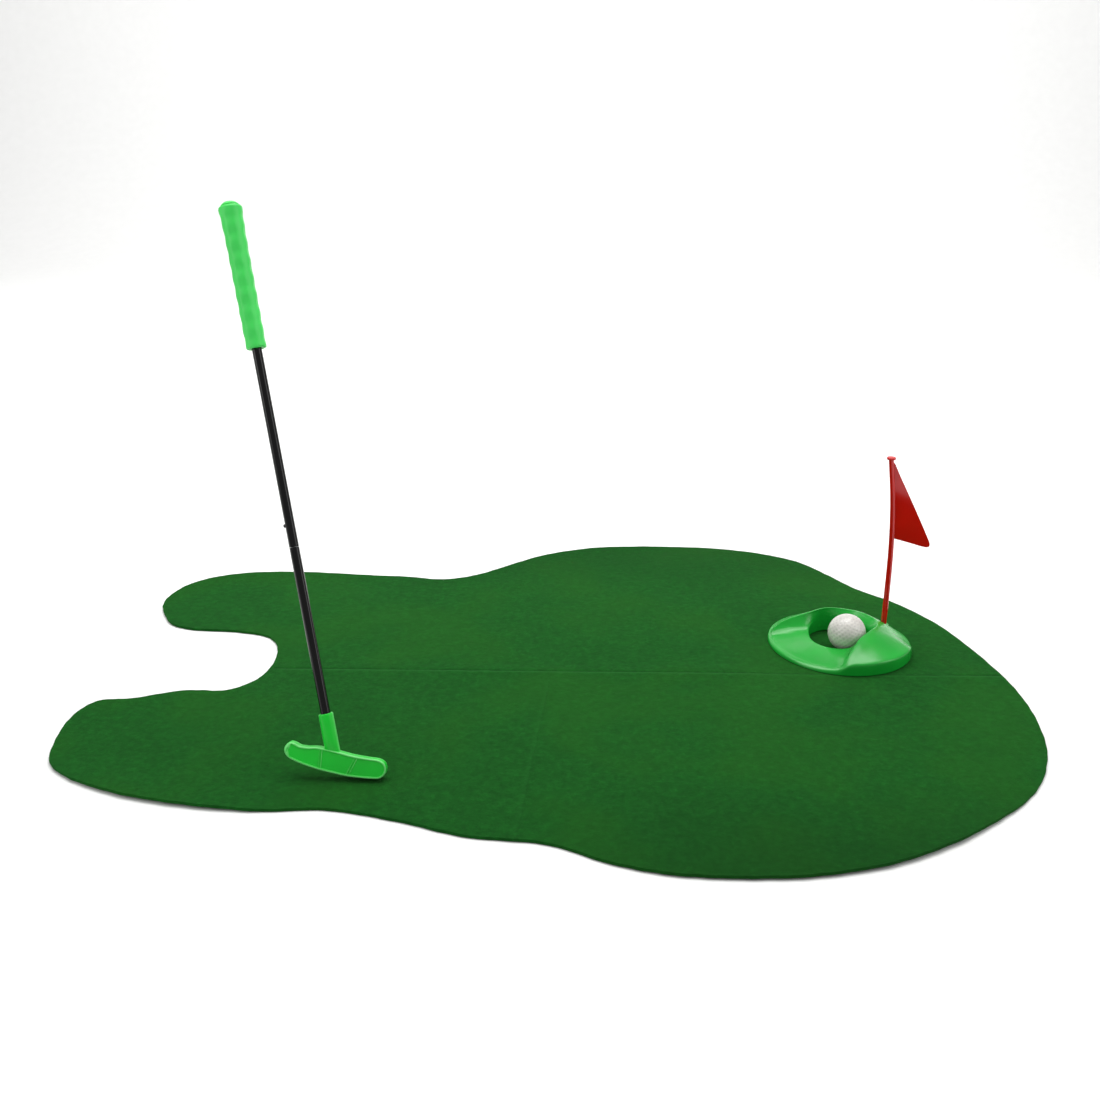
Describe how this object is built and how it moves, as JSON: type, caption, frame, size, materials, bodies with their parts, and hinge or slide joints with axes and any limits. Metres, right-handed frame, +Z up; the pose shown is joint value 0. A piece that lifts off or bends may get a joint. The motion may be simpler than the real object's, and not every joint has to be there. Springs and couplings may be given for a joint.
{
  "type": "practice putting mat set",
  "caption": "Shaped felt putting mat with a notched end, a moulded putting cup holding a ball and a pull-out flag, and a take-apart putter with a two-way head.",
  "frame": {"origin": "centre of the mat's length and width, on the floor under the mat", "axes": "+X along the mat from the notched end towards the cup, +Y across it towards the back, +Z up"},
  "size_m": [0.9902, 0.7421, 0.5087],
  "materials": {
    "green_felt": "needle-punched felt",
    "cup_plastic": "moulded gloss",
    "ball_cover": "dimpled satin",
    "flag_plastic": "moulded gloss",
    "head_plastic": "moulded satin gloss",
    "black_tube": "gloss black paint",
    "joiner_metal": "drawn tube",
    "button_plastic": "moulded",
    "spring_steel": "spring strip",
    "grip_plastic": "soft satin moulding"
  },
  "bodies": {
    "mat": {"putting_mat": "green_felt"},
    "cup_body": {"cup": "cup_plastic"},
    "ball": {"golf_ball": "ball_cover"},
    "flag_body": {"flag": "flag_plastic"},
    "putter": {"putter_head": "head_plastic", "lower_shaft": "black_tube", "upper_shaft": "black_tube", "shaft_joiner": "joiner_metal", "button_spring": "spring_steel", "grip": "grip_plastic", "grip_end_cap": "grip_plastic"},
    "button": {"snap_button": "button_plastic"}
  },
  "joints": [
    {"name": "cup_lift", "type": "slide", "parent": "mat", "child": "cup_body", "axis": [0, 0, 1], "range_m": [0, 0.1]},
    {"name": "ball_lift", "type": "slide", "parent": "cup_body", "child": "ball", "axis": [0, 0, 1], "range_m": [0, 0.06]},
    {"name": "flag_pull", "type": "slide", "parent": "cup_body", "child": "flag_body", "axis": [0, 0, 1], "range_m": [0, 0.05]},
    {"name": "putter_swing", "type": "hinge", "parent": "mat", "child": "putter", "pos_m": [-0.2908, -0.0725, 0.4408], "axis": [1, 0, 0], "range_deg": [-50, 0]},
    {"name": "button_press", "type": "slide", "parent": "putter", "child": "button", "axis": [0.981, 0.068, 0.1819], "range_m": [0, 0.0012], "stiffness_N_per_m": 400, "deforming": ["button_spring"]}
  ]
}
